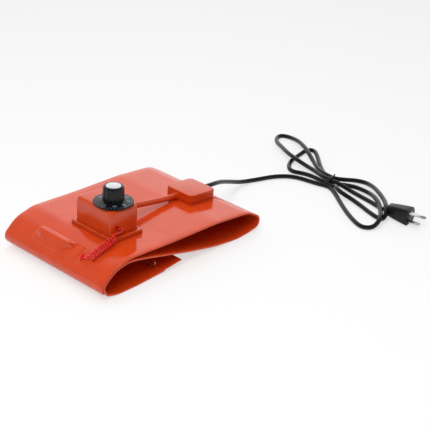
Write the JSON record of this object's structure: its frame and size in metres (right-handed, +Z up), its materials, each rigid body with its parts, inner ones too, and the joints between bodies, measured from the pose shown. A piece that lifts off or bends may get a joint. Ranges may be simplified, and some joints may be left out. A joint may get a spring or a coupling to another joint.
{
  "type": "drum heater blanket",
  "caption": "Silicone heating band for a drum, stored folded, with a dial thermostat box, a splice box, a tension spring and a tied power cord with plug.",
  "frame": {"origin": "on the floor under the middle of the folded band, leaving out the free cord", "axes": "+X along the folded length towards the splice box, +Y across the band towards its far rim, +Z up"},
  "size_m": [0.534, 0.3532, 0.1086],
  "materials": {
    "band_silicone": "glossy",
    "box_silicone": "satin",
    "knob_black": "satin",
    "cap_metal": "brushed",
    "steel": "plain",
    "switch_block": "matte",
    "brass": "plain",
    "copper_capillary": "plain",
    "wire_silicone": "matte",
    "spring_red": "glossy",
    "cord_black": "satin",
    "plug_black": "satin",
    "tie_black": "satin"
  },
  "bodies": {
    "heater": {"heater_blanket": "band_silicone", "sensor_patch": "band_silicone", "sensor_bulb": "steel", "capillary_tube": "copper_capillary", "thermostat_base": "box_silicone", "thermostat_housing": "box_silicone", "thermostat_plate": "steel", "thermostat_body": "switch_block", "diaphragm_capsule": "brass", "terminal_tabs": "brass", "mounting_screws": "steel", "link_sleeve": "box_silicone", "link_wire_live": "wire_silicone", "link_wire_load": "wire_silicone", "junction_base": "box_silicone", "junction_cover": "box_silicone", "wire_splices": "steel", "cord_wires": "wire_silicone", "cord_ferrule": "steel", "power_cord": "cord_black", "cord_hank": "cord_black", "cord_tie": "tie_black", "plug_body": "plug_black", "plug_blade_lower": "brass", "plug_blade_upper": "brass", "plug_earth_pin": "brass", "spring": "spring_red", "spring_eye": "steel", "eye_pad": "band_silicone", "end_hook": "steel", "hook_pad": "band_silicone"},
    "dial": {"knob": "knob_black", "knob_cap": "cap_metal", "spindle": "steel"}
  },
  "joints": [
    {"name": "dial_turn", "type": "hinge", "parent": "heater", "child": "dial", "pos_m": [-0.05769, -0.02885, 0.08426], "axis": [0.0522, 0, 0.9986], "range_deg": [-270, 0]}
  ]
}
